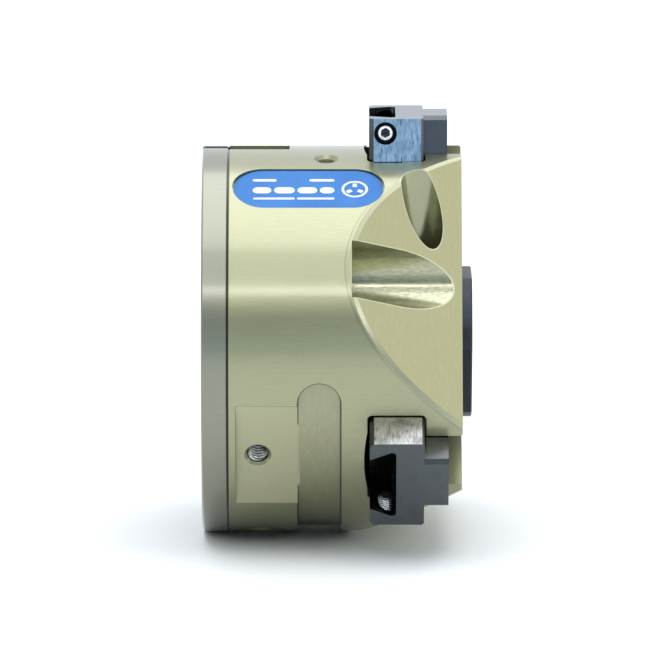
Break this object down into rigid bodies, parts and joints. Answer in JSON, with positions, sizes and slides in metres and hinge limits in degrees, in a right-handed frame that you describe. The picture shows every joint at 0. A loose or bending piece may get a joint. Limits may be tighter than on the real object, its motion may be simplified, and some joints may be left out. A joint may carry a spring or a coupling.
{
  "type": "three-jaw pneumatic gripper",
  "caption": "Round pneumatic centric gripper whose radial jaws are driven together by an axial piston and wedge hook.",
  "frame": {"origin": "centre of the rear mounting face", "axes": "+X along the gripper's axis from the rear face to the jaws, +Z outward along the travel of jaw 1, gripper lying on its side"},
  "size_m": [0.0521, 0.0868, 0.0818],
  "materials": {
    "housing_anodised": "hard anodised, satin",
    "cover_anodised": "hard anodised, satin",
    "jaw_steel": "hardened and ground",
    "ground_steel": "ground",
    "screw_steel": "plain",
    "plug_steel": "plain",
    "centre_plate_black": "blackened, satin",
    "plate_print": "printed, satin",
    "piston_aluminium": "turned",
    "guide_plastic": "matte",
    "seal_rubber": "matte"
  },
  "bodies": {
    "body": {"housing": "housing_anodised", "rear_cover": "cover_anodised", "cover_oring": "seal_rubber", "cover_screws": "screw_steel", "cover_dowels": "ground_steel", "direct_port_screws": "screw_steel", "passage_plugs": "plug_steel", "name_plate": "plate_print", "centre_plate": "centre_plate_black", "centre_plate_screws": "screw_steel", "rod_seal": "seal_rubber", "rear_bumper": "seal_rubber", "front_bumper": "seal_rubber"},
    "drive": {"piston": "piston_aluminium", "piston_seal": "seal_rubber", "piston_guide_ring": "guide_plastic", "wedge_hook": "ground_steel", "hook_screw": "screw_steel"},
    "jaw_1": {"jaw_1": "jaw_steel", "jaw_1_set_screw": "screw_steel"},
    "jaw_2": {"jaw_2": "jaw_steel", "jaw_2_set_screw": "screw_steel"},
    "jaw_3": {"jaw_3": "jaw_steel", "jaw_3_set_screw": "screw_steel"}
  },
  "joints": [
    {"name": "piston_slide", "type": "slide", "parent": "body", "child": "drive", "axis": [1, 0, 0], "range_m": [-0.008, 0]},
    {"name": "jaw_1_slide", "type": "slide", "parent": "body", "child": "jaw_1", "axis": [0, 0, 1], "range_m": [-0.006, 0]},
    {"name": "jaw_2_slide", "type": "slide", "parent": "body", "child": "jaw_2", "axis": [0, -0.866, -0.5], "range_m": [-0.006, 0]},
    {"name": "jaw_3_slide", "type": "slide", "parent": "body", "child": "jaw_3", "axis": [0, 0.866, -0.5], "range_m": [-0.006, 0]}
  ],
  "couplings": [
    {"joint": "jaw_1_slide", "follows": "piston_slide", "ratio": 0.75},
    {"joint": "jaw_2_slide", "follows": "piston_slide", "ratio": 0.75},
    {"joint": "jaw_3_slide", "follows": "piston_slide", "ratio": 0.75}
  ]
}
